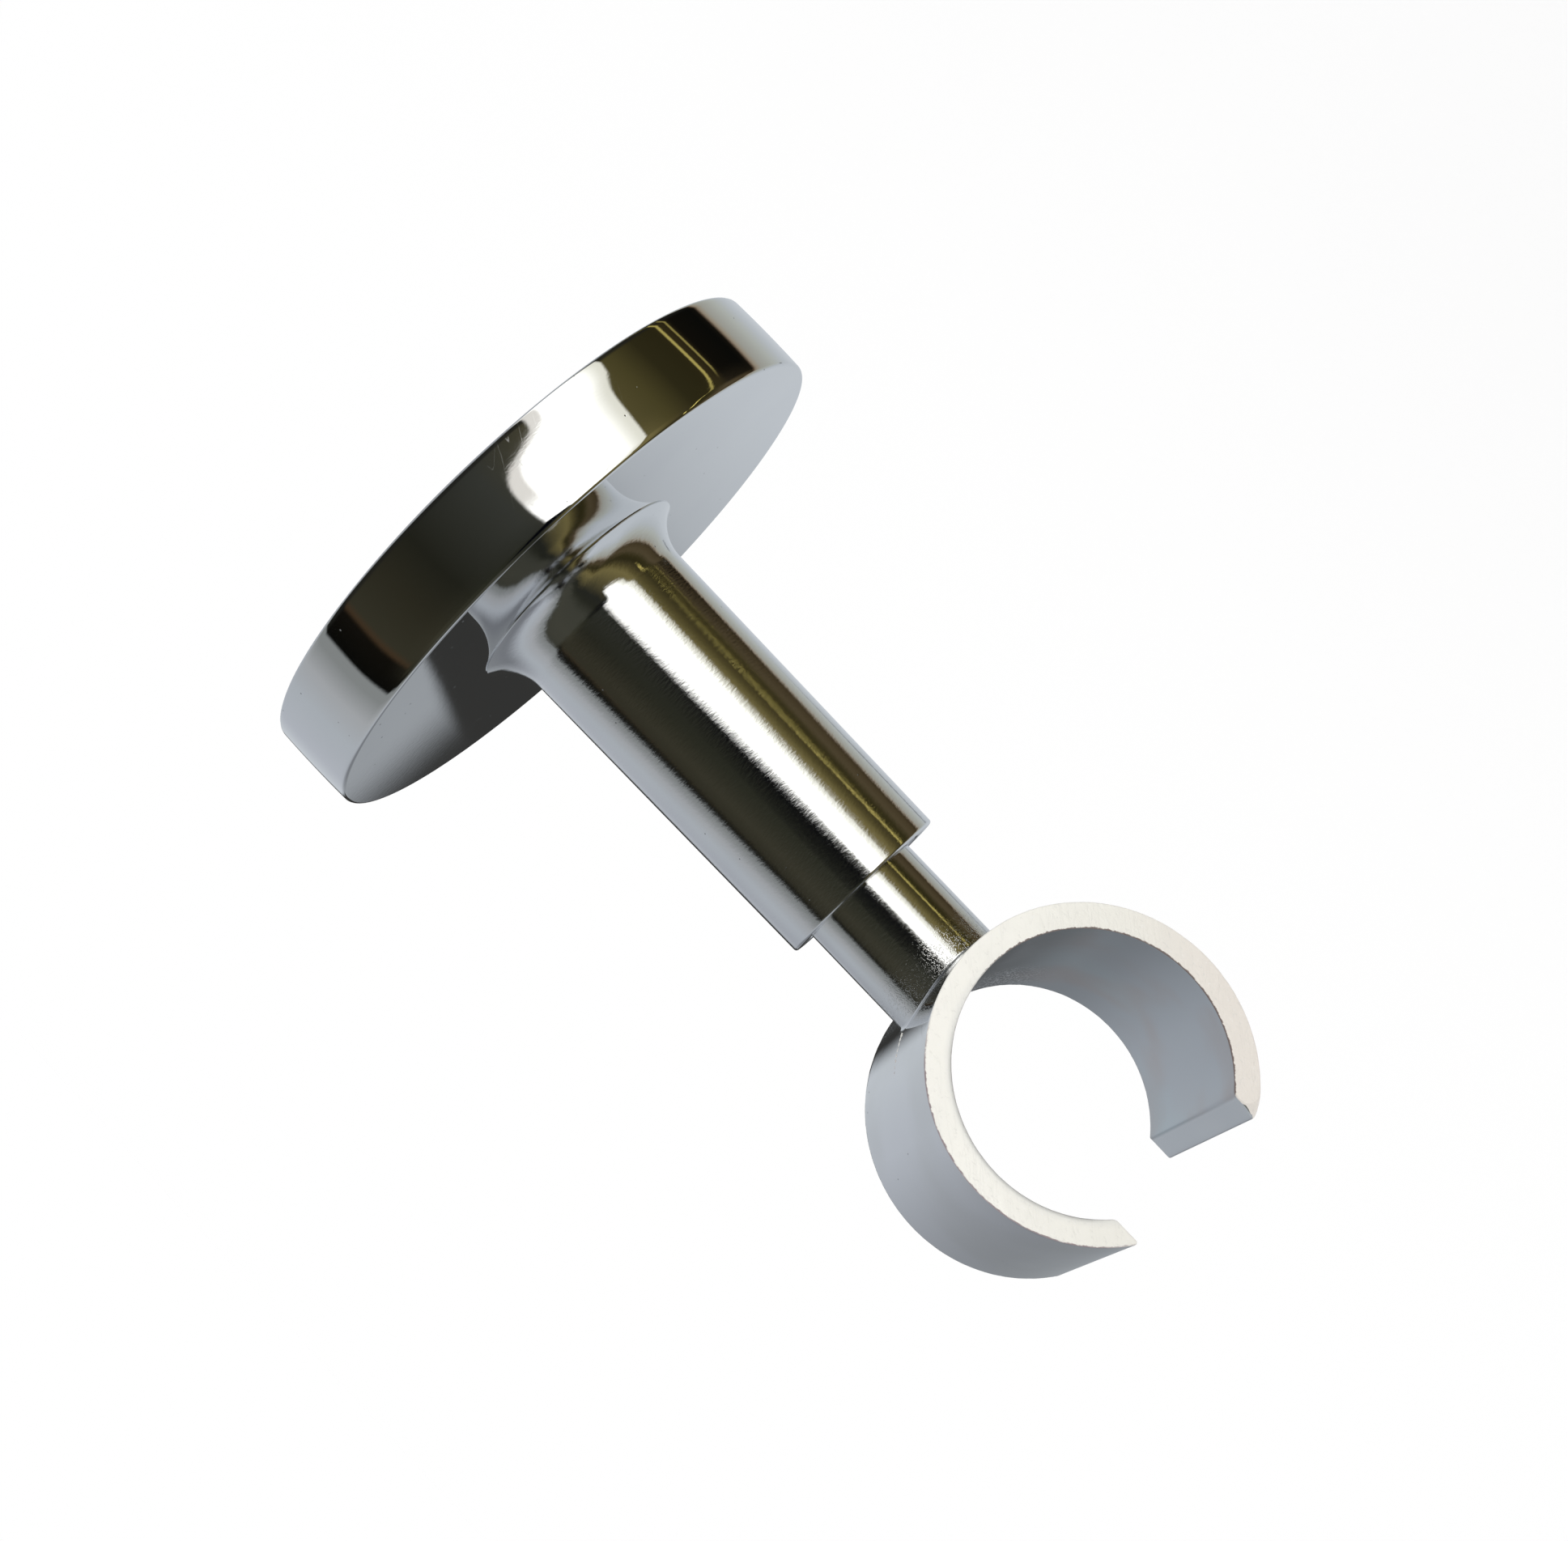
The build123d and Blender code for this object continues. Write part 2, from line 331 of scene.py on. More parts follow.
def makeDarkRoom(tree, around, along, paleStart, paleEnd):
    # the dark room on the other side, which the post and the rose's rim see differently
    beyond = calc(tree, "FLOORED_MODULO", minus(tree, around, paleEnd), 360.0)
    share = calc(tree, "DIVIDE", beyond, minus(tree, 360.0, minus(tree, paleEnd, paleStart)))
    byPost = colourRamp(tree, share, seenStops("postDark", 262, 453))
    byRim = colourRamp(tree, share, seenStops("rimDark", 262, 453))
    dark = mixColours(tree, remap(tree, along, 6.0, 10.5), byPost, byRim)
    dark = mixColours(tree, remap(tree, along, 15.5, 23.0, 0.0, 0.85), dark, seen("flareRoom"))
    softer = times(tree, remap(tree, along, -0.3, -2.2), remap(tree, share, 0.6, 0.72, 0.0, 0.75))
    dark = mixColours(tree, softer, dark, seen("softRoom"))

    # its gold line, and a second one that only the rim sees
    fromGold = minus(tree, around, directionCurve(tree, along, "goldLine"))
    goldMask = remap(tree, calc(tree, "ABSOLUTE", fromGold), 1.2, 0.25)
    goldMask = times(tree, goldMask, remap(tree, along, -14.0, -4.0))
    gold = mixColours(tree, remap(tree, along, 9.5, 4.0), seen("goldColour"), seen("goldColour", 2.3))
    dark = mixColours(tree, goldMask, dark, gold)
    fromSecond = calc(tree, "ABSOLUTE", minus(tree, fromGold, studio["secondGold"]))
    secondMask = times(tree, remap(tree, fromSecond, 0.9, 0.2, 0.0, 0.6), remap(tree, along, 9.5, 11.0))
    return mixColours(tree, secondMask, dark, seen("goldColour"))


def addLongLamp(tree, around, along, dark):
    # the long lamp, with a thin bar across its heart and a duller far edge
    away = 200.0  # a direction clear of the lamp, so that none of its angles wraps round
    shifted = calc(tree, "FLOORED_MODULO", minus(tree, around, away), 360.0)
    intoLamp = minus(tree, shifted, minus(tree, directionCurve(tree, along, "lampStart"), away))
    toLampEnd = minus(tree, minus(tree, directionCurve(tree, along, "lampEnd"), away), shifted)
    light = mixColours(tree, remap(tree, intoLamp, 1.0, 15.0), seen("lampEdge"), seen("lampHeart", 1.45))
    fromBar = calc(tree, "ABSOLUTE", minus(tree, intoLamp, studio["lampBarAt"]))
    barMask = times(tree, remap(tree, fromBar, 1.3, 0.3), remap(tree, along, 11.0, 6.0, 0.35, 1.0))
    light = mixColours(tree, barMask, light, seen("lampBar"))
    farEdge = times(tree, remap(tree, toLampEnd, 7.5, 5.0), remap(tree, along, 9.5, 11.5))
    light = mixColours(tree, farEdge, light, seen("lampEndEdge"))
    lampMask = times(tree, remap(tree, intoLamp, -0.8, 0.8), remap(tree, toLampEnd, -1.0, 1.0))
    lampMask = times(tree, lampMask, remap(tree, along, studio["lampLow"], studio["lampLow"] + 5.0))

    # a black band beyond its far edge, wider towards the mouth of the post
    width = remap(tree, along, 7.2, 2.2, 0.0, studio["blackWidth"], smooth=False)
    blackMask = remap(tree, calc(tree, "ADD", toLampEnd, width), -0.4, 2.2)
    blackMask = times(tree, blackMask, remap(tree, along, -1.2, 0.0))
    blackMask = times(tree, blackMask, remap(tree, toLampEnd, 2.0, 0.0))
    dark = mixColours(tree, blackMask, dark, seen("lampShadow"))
    return mixColours(tree, lampMask, dark, light)


def makeStudioWorld():
    world = bpy.data.worlds.new("studio")
    world.use_nodes = True
    bpy.context.scene.world = world
    tree = world.node_tree
    tree.nodes.clear()
    towards = addNode(tree, "ShaderNodeTexCoord").outputs["Generated"]
    parts = addNode(tree, "ShaderNodeSeparateXYZ", {0: towards}).outputs
    turned = calc(tree, "ARCTAN2", parts["Z"], parts["X"])
    around = calc(tree, "FLOORED_MODULO", times(tree, turned, 360 / fullTurn), 360.0)
    along = times(tree, calc(tree, "ARCSINE", parts["Y"]), 360 / fullTurn)

    paleStart = directionCurve(tree, along, "paleStart")
    paleEnd = directionCurve(tree, along, "paleEnd")
    pale, paleMask = makePaleBackdrop(tree, around, along, paleStart, paleEnd)
    room = makeDarkRoom(tree, around, along, paleStart, paleEnd)
    room = addLongLamp(tree, around, along, room)
    mirrored = mixColours(tree, paleMask, room, pale)
    mirrored = mixColours(tree, remap(tree, along, -72.0, -84.0), mirrored, seen("outwardCap"))
    mirrored = mixColours(tree, remap(tree, along, 35.0, 70.0), mirrored, seen("wallCap"))

    # the camera sees plain white, and so do the floor and everything dull
    rays = addNode(tree, "ShaderNodeLightPath").outputs
    byMirror = calc(tree, "MAXIMUM", rays["Is Glossy Ray"], rays["Is Transmission Ray"])
    light = mixColours(tree, byMirror, (1, 1, 1, 1), mirrored)
    glow = addNode(tree, "ShaderNodeBackground", {"Color": light, "Strength": 1.0})
    addNode(tree, "ShaderNodeOutputWorld", {"Surface": glow.outputs[0]})
    print("studio light made")


def makeFloor():
    plain = {"drop": 160 * mm, "half": 3.0, "colour": (1.0, 1.0, 1.0, 1)}
    shape = bmesh.new()
    place = Matrix.Translation((0, 0, -plain["drop"]))
    bmesh.ops.create_grid(shape, x_segments=1, y_segments=1, size=plain["half"], matrix=place)
    mesh = bpy.data.meshes.new("floor")
    shape.to_mesh(mesh)
    shape.free()
    paint = bpy.data.materials.new("paleFloor")
    paint.use_nodes = True
    shader = paint.node_tree.nodes["Principled BSDF"]
    shader.inputs["Base Color"].default_value = plain["colour"]
    shader.inputs["Roughness"].default_value = 1.0
    shader.inputs["Specular IOR Level"].default_value = 0.0
    mesh.materials.append(paint)
    floor = bpy.data.objects.new("floor", mesh)
    floor.visible_glossy = False  # the chrome mirrors the studio instead
    bpy.context.scene.collection.objects.link(floor)
    print("floor made")


def makeCamera():
    view = {
        "place": Vector((266.030, -61.508, 93.182)) * mm,
        "aim": Vector((0.0, -38.594, -2.525)) * mm,
        "roll": math.radians(-132.15),
        "lens": 62.163,
        "sensor": 36.0,
    }
    data = bpy.data.cameras.new("camera")
    data.lens = view["lens"]
    data.sensor_width = view["sensor"]
    data.clip_start = 0.01
    data.clip_end = 20.0
    camera = bpy.data.objects.new("camera", data)
    bpy.context.scene.collection.objects.link(camera)
    camera.location = view["place"]
    camera.rotation_mode = "QUATERNION"
    level = (view["aim"] - view["place"]).to_track_quat("-Z", "Y")
    camera.rotation_quaternion = level @ Quaternion(alongZ, view["roll"])
    bpy.context.scene.camera = camera
    print("camera placed")


# Finishes. The groups hold the effects that several finishes share

def newGroup(name, inputs, outputs):
    group = bpy.data.node_groups.new(name, "ShaderNodeTree")
    for socket in inputs:
        group.interface.new_socket(socket, in_out="INPUT", socket_type="NodeSocketFloat")
    for socket in outputs:
        group.interface.new_socket(socket, in_out="OUTPUT", socket_type="NodeSocketFloat")
    return group, addNode(group, "NodeGroupInput").outputs


def stretch(group, place, around, along):
    # a place counted in waves, so many to the metre round the part and so many along it
    count = addNode(group, "ShaderNodeCombineXYZ", {"X": around, "Y": along, "Z": around}).outputs[0]
    return addNode(group, "ShaderNodeVectorMath", {0: place, 1: count}, operation="MULTIPLY").outputs[0]


def makeRippleGroup():
    # fine polishing ripple, with its two counts of waves to the metre
    group, given = newGroup("polishRipple", ["Around", "Along", "Detail"], ["Height"])
    place = addNode(group, "ShaderNodeTexCoord").outputs["Object"]
    place = stretch(group, place, given["Around"], given["Along"])
    waves = addNode(
        group, "ShaderNodeTexNoise",
        {"Vector": place, "Scale": 1.0, "Detail": given["Detail"], "Roughness": 0.62},
    )
    addNode(group, "NodeGroupOutput", {"Height": waves.outputs["Fac"]})
    return group


def makePitGroup():
    # tiny pits in the plating, at most one to each cell of the spacing
    group, given = newGroup("platingPits", ["Spacing", "Size", "Share"], ["Pit"])
    place = addNode(group, "ShaderNodeTexCoord").outputs["Object"]
    count = calc(group, "DIVIDE", 1.0, given["Spacing"])
    cells = addNode(group, "ShaderNodeTexVoronoi", {"Vector": place, "Scale": count, "Randomness": 1.0})
    reach = calc(group, "DIVIDE", given["Size"], given["Spacing"])
    chance = addNode(group, "ShaderNodeSeparateColor", {"Color": cells.outputs["Color"]}).outputs["Red"]
    chosen = calc(group, "LESS_THAN", chance, given["Share"])
    deep = remap(group, cells.outputs["Distance"], reach, times(group, reach, 0.35))
    addNode(group, "NodeGroupOutput", {"Pit": times(group, chosen, deep)})
    return group


def makeScratchGroup():
    # hair scratches: thin lines where a stretched noise crosses its middle, broken by a second noise
    group, given = newGroup("hairScratches", ["Along", "Across", "Turn", "Width", "Share"], ["Scratch"])
    place = addNode(group, "ShaderNodeTexCoord").outputs["Object"]
    place = addNode(
        group, "ShaderNodeVectorRotate", {"Vector": place, "Angle": given["Turn"]}, rotation_type="X_AXIS",
    ).outputs[0]
    place = stretch(group, place, given["Across"], given["Along"])
    lines = addNode(group, "ShaderNodeTexNoise", {"Vector": place, "Scale": 1.0, "Detail": 0.0})
    breaks = addNode(group, "ShaderNodeTexNoise", {"Vector": place, "Scale": 0.37, "Detail": 1.0})
    fromLine = calc(group, "ABSOLUTE", minus(group, lines.outputs["Fac"], 0.5))
    thin = remap(group, fromLine, given["Width"], 0.0)
    present = remap(group, breaks.outputs["Fac"], given["Share"], calc(group, "ADD", given["Share"], 0.06))
    addNode(group, "NodeGroupOutput", {"Scratch": times(group, thin, present)})
    return group


def makeSmearGroup():
    # broad soft patches, where handling and the plating's colour change the metal
    group, given = newGroup("softSmears", ["Count", "Low", "High"], ["Smear"])
    place = addNode(group, "ShaderNodeTexCoord").outputs["Object"]
    cloud = addNode(
        group, "ShaderNodeTexNoise",
        {"Vector": place, "Scale": given["Count"], "Detail": 2.0, "Roughness": 0.5},
    )
    smear = remap(group, cloud.outputs["Fac"], given["Low"], given["High"])
    addNode(group, "NodeGroupOutput", {"Smear": smear})
    return group


def makePostAxisGroup():
    # distance from the post's axis
    group = newGroup("postAxis", [], ["Radius"])[0]
    place = addNode(group, "ShaderNodeTexCoord").outputs["Object"]
    flat = addNode(group, "ShaderNodeVectorMath", {0: place, 1: (1, 0, 1)}, operation="MULTIPLY")
    length = addNode(group, "ShaderNodeVectorMath", {0: flat.outputs[0]}, operation="LENGTH")
    addNode(group, "NodeGroupOutput", {"Radius": length.outputs["Value"]})
    return group


def makePoleAxisGroup():
    # distance from the pole's axis, and from its middle towards the wall, up and sideways
    group = newGroup("poleAxis", [], ["Radius", "Wallward", "Upward", "Sideward"])[0]
    place = addNode(group, "ShaderNodeTexCoord").outputs["Object"]
    parts = addNode(group, "ShaderNodeSeparateXYZ", {0: place}).outputs
    wallward = minus(group, parts["Y"], poleAxis.y)
    upward = minus(group, parts["Z"], poleAxis.z)
    squares = calc(group, "MULTIPLY_ADD", wallward, wallward, times(group, upward, upward))
    addNode(group, "NodeGroupOutput", {
        "Radius": calc(group, "SQRT", squares),
        "Wallward": wallward,
        "Upward": upward,
        "Sideward": parts["X"],
    })
    return group


def placeGroup(tree, group, **values):
    made = addNode(tree, "ShaderNodeGroup", node_tree=group)
    for name, value in values.items():
        made.inputs[name].default_value = value
    return made.outputs


def startMetal(name):
    material = bpy.data.materials.new(name)
    material.use_nodes = True
    tree = material.node_tree
    shader = tree.nodes["Principled BSDF"]
    shader.inputs["Metallic"].default_value = 1.0
    return material, tree, shader


def finishMetal(tree, shader, colour, roughness, height, depth):
    bump = addNode(tree, "ShaderNodeBump", {"Height": height, "Strength": 1.0, "Distance": depth})
    tree.links.new(bump.outputs["Normal"], shader.inputs["Normal"])
    tree.links.new(colour, shader.inputs["Base Color"])
    tree.links.new(roughness, shader.inputs["Roughness"])


def shaded(colour, factor, blue=1.0):
    return [factor * colour[0], factor * colour[1], min(1.0, factor * blue * colour[2]), 1.0]


def layColours(tree, colour, colours, masks):
    # lays colours over one another in turn, each as far as its mask lets it
    for name, mask in masks.items():
        colour = mixColours(tree, mask, colour, colours[name])
    return colour


def polishedChrome(groups):
    # rose and post: bright plate with a fine ripple, a few pits and hair scratches
    chrome = {
        "ripple": {"Around": 1500.0, "Along": 3600.0, "Detail": 5.0},
        "depth": 0.012 * mm, "roughness": 0.024, "rimRipple": 0.07,
        "pits": {"Spacing": 2.0 * mm, "Size": 0.12 * mm, "Share": 0.45},
        "scratches": {"Along": 12.0, "Across": 700.0, "Turn": 0.5, "Width": 0.004, "Share": 0.60},
        "smears": {"Count": 55.0, "Low": 0.35, "High": 0.7},
        "footStart": 11 * mm,  # the ripple fades out on the rose
        "footEnd": 15 * mm,
    }
    material, tree, shader = startMetal("polishedChrome")
    base = slotColours["polished_chrome"]
    ripple = placeGroup(tree, groups["ripple"], **chrome["ripple"])["Height"]
    pit = placeGroup(tree, groups["pits"], **chrome["pits"])["Pit"]
    scratch = placeGroup(tree, groups["scratches"], **chrome["scratches"])["Scratch"]
    smear = placeGroup(tree, groups["smears"], **chrome["smears"])["Smear"]
    fromPost = placeGroup(tree, groups["postAxis"])["Radius"]
    fade = remap(tree, fromPost, chrome["footStart"], chrome["footEnd"], 1.0, chrome["rimRipple"])
    colour = mixColours(tree, smear, shaded(base, 1.0), shaded(base, 0.96, 1.01))
    colour = mixColours(tree, pit, colour, shaded(base, 0.35))
    roughness = calc(tree, "MULTIPLY_ADD", smear, 0.012, chrome["roughness"])
    roughness = calc(tree, "MULTIPLY_ADD", scratch, 0.1, roughness)
    roughness = calc(tree, "MULTIPLY_ADD", pit, 0.25, roughness)
    height = minus(tree, times(tree, ripple, fade), times(tree, pit, 1.2))
    finishMetal(tree, shader, colour, roughness, height, chrome["depth"])
    return material


def ringChrome(groups):
    # stem and outside of the ring: the same plate, left grainy where the polishing wheel couldn't reach
    chrome = {
        "ripple": {"Around": 1500.0, "Along": 3600.0, "Detail": 5.0},
        "grain": {"Spacing": 0.13 * mm, "Size": 0.085 * mm, "Share": 0.5},
        "pits": {"Spacing": 2.4 * mm, "Size": 0.12 * mm, "Share": 0.25},
        "smears": {"Count": 75.0, "Low": 0.35, "High": 0.68},
        "depth": 0.011 * mm, "roughness": 0.03, "ringRipple": 0.25,
        "grainStart": 5.0 * mm,  # how far out from the ring the grain on the stem starts
        "grainFull": 0.5 * mm,
    }
    material, tree, shader = startMetal("ringChrome")
    base = slotColours["ring_chrome"]
    axis = placeGroup(tree, groups["poleAxis"])
    ripple = placeGroup(tree, groups["ripple"], **chrome["ripple"])["Height"]
    grain = placeGroup(tree, groups["pits"], **chrome["grain"])["Pit"]
    smear = placeGroup(tree, groups["smears"], **chrome["smears"])["Smear"]
    pit = placeGroup(tree, groups["pits"], **chrome["pits"])["Pit"]
    fromRing = minus(tree, axis["Wallward"], ringRadius)
    rough = times(
        tree, remap(tree, fromRing, chrome["grainStart"], chrome["grainFull"]),
        remap(tree, fromRing, -1.4 * mm, -0.4 * mm),
    )
    onStem = remap(tree, axis["Radius"], ringRadius, ringRadius + 0.5 * mm)
    fade = remap(tree, onStem, 0.0, 1.0, chrome["ringRipple"], 1.0)
    colour = mixColours(tree, smear, shaded(base, 1.0, 1.01), shaded(base, 0.93, 0.99))
    colour = mixColours(tree, pit, colour, shaded(base, 0.35))
    roughness = calc(tree, "MULTIPLY_ADD", smear, 0.025, chrome["roughness"])
    roughness = calc(tree, "MULTIPLY_ADD", rough, 0.06, roughness)
    height = calc(tree, "MULTIPLY_ADD", times(tree, grain, rough), 1.1, times(tree, ripple, fade))
    height = minus(tree, height, times(tree, pit, 1.2))
    finishMetal(tree, shader, colour, roughness, height, chrome["depth"])
    return material


def filedEnds(groups):
    # end faces of the ring: filed flat, satin and creamy, with slanting file marks. Painted shade greys the
    # rounded inner edge above, and the worn edges show the copper under the chrome
    ends = {
        "cream": (0.985, 0.97, 0.91, 1), "dull": (0.91, 0.895, 0.83, 1), "pink": (0.86, 0.81, 0.75, 1),
        # raised and sunk are a painted highlight on the high file marks and painted shade in the low ones
        "scratched": (0.78, 0.77, 0.73, 1), "raised": (1, 1, 0.98, 1), "sunk": (0.72, 0.71, 0.67, 1),
        # soft and shade are colours of painted shade on the rounded inner edge
        "pitted": (0.93, 0.92, 0.9, 1), "soft": (0.66, 0.67, 0.67, 1), "shade": (0.34, 0.34, 0.33, 1),
        "copper": (0.13, 0.08, 0.075, 1), "outLine": (0.20, 0.12, 0.15, 1),
        "marks": {"Around": 2600.0, "Along": 1400.0, "Detail": 4.0},
        "scratches": {"Along": 250.0, "Across": 2600.0, "Turn": 0.7, "Width": 0.03, "Share": 0.42},
        "smears": {"Count": 110.0, "Low": 0.38, "High": 0.66},
        "pits": {"Spacing": 1.5 * mm, "Size": 0.16 * mm, "Share": 0.35},
        "metallic": 0.15, "roughness": 0.42, "depth": 0.05 * mm, "edge": 0.07 * mm,
    }
    material, tree, shader = startMetal("filedEnds")
    shader.inputs["Metallic"].default_value = ends["metallic"]
    axis = placeGroup(tree, groups["poleAxis"])
    marks = placeGroup(tree, groups["ripple"], **ends["marks"])["Height"]
    scratch = placeGroup(tree, groups["scratches"], **ends["scratches"])["Scratch"]
    smear = placeGroup(tree, groups["smears"], **ends["smears"])["Smear"]
    pit = placeGroup(tree, groups["pits"], **ends["pits"])["Pit"]

    # duller and pinker towards the lower front, with a ragged line where the edges are worn
    lowerFront = times(tree, calc(tree, "ADD", axis["Upward"], axis["Wallward"]), -1.0)
    cloudy = calc(tree, "MULTIPLY_ADD", smear, 5 * mm, lowerFront)
    uneven = minus(tree, marks, 0.5)
    ragged = calc(tree, "MULTIPLY_ADD", uneven, 0.5 * mm, axis["Radius"])
    raggedOut = calc(tree, "MULTIPLY_ADD", uneven, 0.45 * mm, axis["Radius"])
    colour = layColours(tree, ends["cream"], ends, {
        "dull": remap(tree, cloudy, -16 * mm, 3 * mm),
        "pink": remap(tree, lowerFront, 0.0, 21 * mm),
        "scratched": times(tree, scratch, 0.18),
        # painted highlight on the high file marks and painted shade in the low ones
        "raised": remap(tree, marks, 0.6, 0.75, 0.0, 0.35),
        "sunk": remap(tree, marks, 0.42, 0.3, 0.0, 0.35),
        "pitted": times(tree, pit, 0.5),
        # painted shade along the rounded inner edge: a wide light grey above, then a thin darker line
        "soft": times(
            tree, remap(tree, axis["Radius"], boreRadius + 1.0 * mm, boreRadius + 0.1 * mm, 0.0, 0.35),
            remap(tree, axis["Upward"], -2 * mm, 5 * mm),
        ),
        "shade": times(
            tree, remap(tree, axis["Radius"], boreRadius + 0.5 * mm, boreRadius - 0.05 * mm, 0.0, 0.7),
            remap(tree, axis["Upward"], 4 * mm, 11 * mm),
            remap(tree, axis["Wallward"], -11.5 * mm, -9 * mm),
        ),
        "outLine": times(
            tree, remap(tree, raggedOut, ringRadius - 0.15 * mm, ringRadius - 0.05 * mm, 0.0, 0.8),
            remap(tree, axis["Upward"], 7 * mm, 13 * mm),
        ),
        "copper": times(
            tree, remap(tree, ragged, boreRadius + 2.2 * ends["edge"], boreRadius + ends["edge"], 0.0, 0.85),
            remap(tree, axis["Upward"], 4 * mm, -3 * mm, 0.12, 1.0),
        ),
    })
    roughness = calc(tree, "MULTIPLY_ADD", smear, 0.06, ends["roughness"])
    height = minus(tree, marks, times(tree, pit, 0.8))
    height = minus(tree, height, times(tree, scratch, 0.15))
    finishMetal(tree, shader, colour, roughness, height, ends["depth"])
    return material


def boreChrome(groups):
    # bore and slot faces: thin dull plate, with painted shade deep in the bore towards the stem, and bright
    # grains there
    bore = {
        "colour": (0.55, 0.58, 0.605, 1), "warm": (0.56, 0.54, 0.54, 1), "cool": (0.55, 0.63, 0.66, 1),
        # deep is the colour of painted shade inside the bore
        "deep": (0.14, 0.145, 0.15, 1), "slot": (0.86, 0.89, 0.91, 1), "grains": (0.97, 0.97, 0.98, 1),
        "grain": {"Around": 3400.0, "Along": 3400.0, "Detail": 3.0},
        "warmth": {"Count": 95.0, "Low": 0.42, "High": 0.66},
        "coolness": {"Count": 70.0, "Low": 0.5, "High": 0.7},
        "specks": {"Spacing": 0.24 * mm, "Size": 0.16 * mm, "Share": 0.6},
        "roughness": 0.30, "depth": 0.006 * mm,
    }
    material, tree, shader = startMetal("boreChrome")
    axis = placeGroup(tree, groups["poleAxis"])
    grain = placeGroup(tree, groups["ripple"], **bore["grain"])["Height"]
    warmth = placeGroup(tree, groups["smears"], **bore["warmth"])["Smear"]
    coolness = placeGroup(tree, groups["smears"], **bore["coolness"])["Smear"]
    specks = placeGroup(tree, groups["pits"], **bore["specks"])["Pit"]
    stemward = remap(tree, axis["Wallward"], 0.55 * boreRadius, 0.95 * boreRadius)
    onSlot = remap(tree, axis["Radius"], boreRadius + 0.1 * mm, boreRadius + 0.4 * mm, 0.0, 0.9)
    farSide = remap(tree, axis["Sideward"], -2 * mm, -8 * mm)
    grains = times(tree, specks, stemward, farSide)
    colour = layColours(tree, bore["colour"], bore, {
        "warm": warmth,
        "cool": times(tree, coolness, 0.6),
        # painted shade deep in the bore, towards the stem
        "deep": times(tree, stemward, 0.85),
        "slot": onSlot,
        "grains": grains,
    })
    roughness = calc(tree, "MULTIPLY_ADD", warmth, 0.05, bore["roughness"])
    roughness = calc(tree, "MULTIPLY_ADD", grains, -0.2, roughness)
    height = calc(tree, "ADD", grain, times(tree, grains, 7.0))
    finishMetal(tree, shader, colour, roughness, height, bore["depth"])
    return material


def zincCasting(groups):
    # wall plate: dull as cast, with a coarse skin
    material, tree, shader = startMetal("zincCasting")
    base = slotColours["zinc_casting"]
    skin = placeGroup(tree, groups["ripple"], Around=1500.0, Along=1500.0, Detail=5.0)["Height"]
    smear = placeGroup(tree, groups["smears"], Count=120.0, Low=0.35, High=0.65)["Smear"]
    pit = placeGroup(tree, groups["pits"], Spacing=1.8 * mm, Size=0.3 * mm, Share=0.5)["Pit"]
    colour = mixColours(tree, smear, shaded(base, 1.0), shaded(base, 0.8, 1.02))
    colour = mixColours(tree, pit, colour, shaded(base, 0.5))
    roughness = calc(tree, "MULTIPLY_ADD", smear, 0.12, 0.42)
    finishMetal(tree, shader, colour, roughness, minus(tree, skin, pit), 0.05 * mm)
    return material


def platedSteel(groups):
    # screws and washer: zinc plate with turning marks and a faint yellow cast
    material, tree, shader = startMetal("platedSteel")
    base = slotColours["plated_steel"]
    marks = placeGroup(tree, groups["ripple"], Around=1800.0, Along=6000.0, Detail=3.0)["Height"]
    smear = placeGroup(tree, groups["smears"], Count=300.0, Low=0.35, High=0.65)["Smear"]
    colour = mixColours(tree, smear, shaded(base, 1.0), shaded(base, 0.85, 0.9))
    roughness = calc(tree, "MULTIPLY_ADD", smear, 0.12, 0.24)
    finishMetal(tree, shader, colour, roughness, marks, 0.012 * mm)
    return material


# Cover rose

def makeCoverRose(materials):
    rose = {
        "radius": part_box("cover_rose")[1].x,
        "depth": -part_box("cover_rose")[0].y,
        "frontWall": 2.4 * mm,
        "rimWall": 2.2 * mm,
        "crown": 0.09 * mm,  # the rim bulges a little at its middle
        "crownSteps": 14,
        "frontEdge": 0.35 * mm,
        "backEdge": 0.3 * mm,
        "innerEdge": 0.15 * mm,
        "hole": 3.2 * mm,
        "rimHole": 2.05 * mm,
        "rimHoleOut": 4.2 * mm,
    }
    inner = rose["radius"] - rose["rimWall"]
    innerFace = rose["depth"] - rose["frontWall"]
    rim = []
    for step in range(rose["crownSteps"] + 1):
        share = step / rose["crownSteps"]
        rim.append((rose["radius"] - rose["crown"] * (2 * share - 1) ** 2, rose["depth"] * (1 - share)))
    shape = bmesh.new()
    verts = drawProfile(shape, [
        (rose["hole"], innerFace), (rose["hole"], rose["depth"]), *rim, (inner, 0), (inner, innerFace),
    ])
    shape.edges.new((verts[-1], verts[0]))
    turn(shape)
    roundEdges(shape, rimEdges(shape, *rim[0]), rose["frontEdge"], 8)
    roundEdges(shape, rimEdges(shape, *rim[-1]), rose["backEdge"], 4)
    roundEdges(shape, rimEdges(shape, inner, 0), rose["innerEdge"], 2)
    piece = finishPiece(shape, "coverRose", materials, "wall_side", "cover_rose")
    cutAway(piece, upwardDrill(rose["rimHole"], rose["rimHoleOut"], -rose["radius"] - mm, -inner + mm))
    smoothFaces(piece)
    print("cover rose made")


# Post

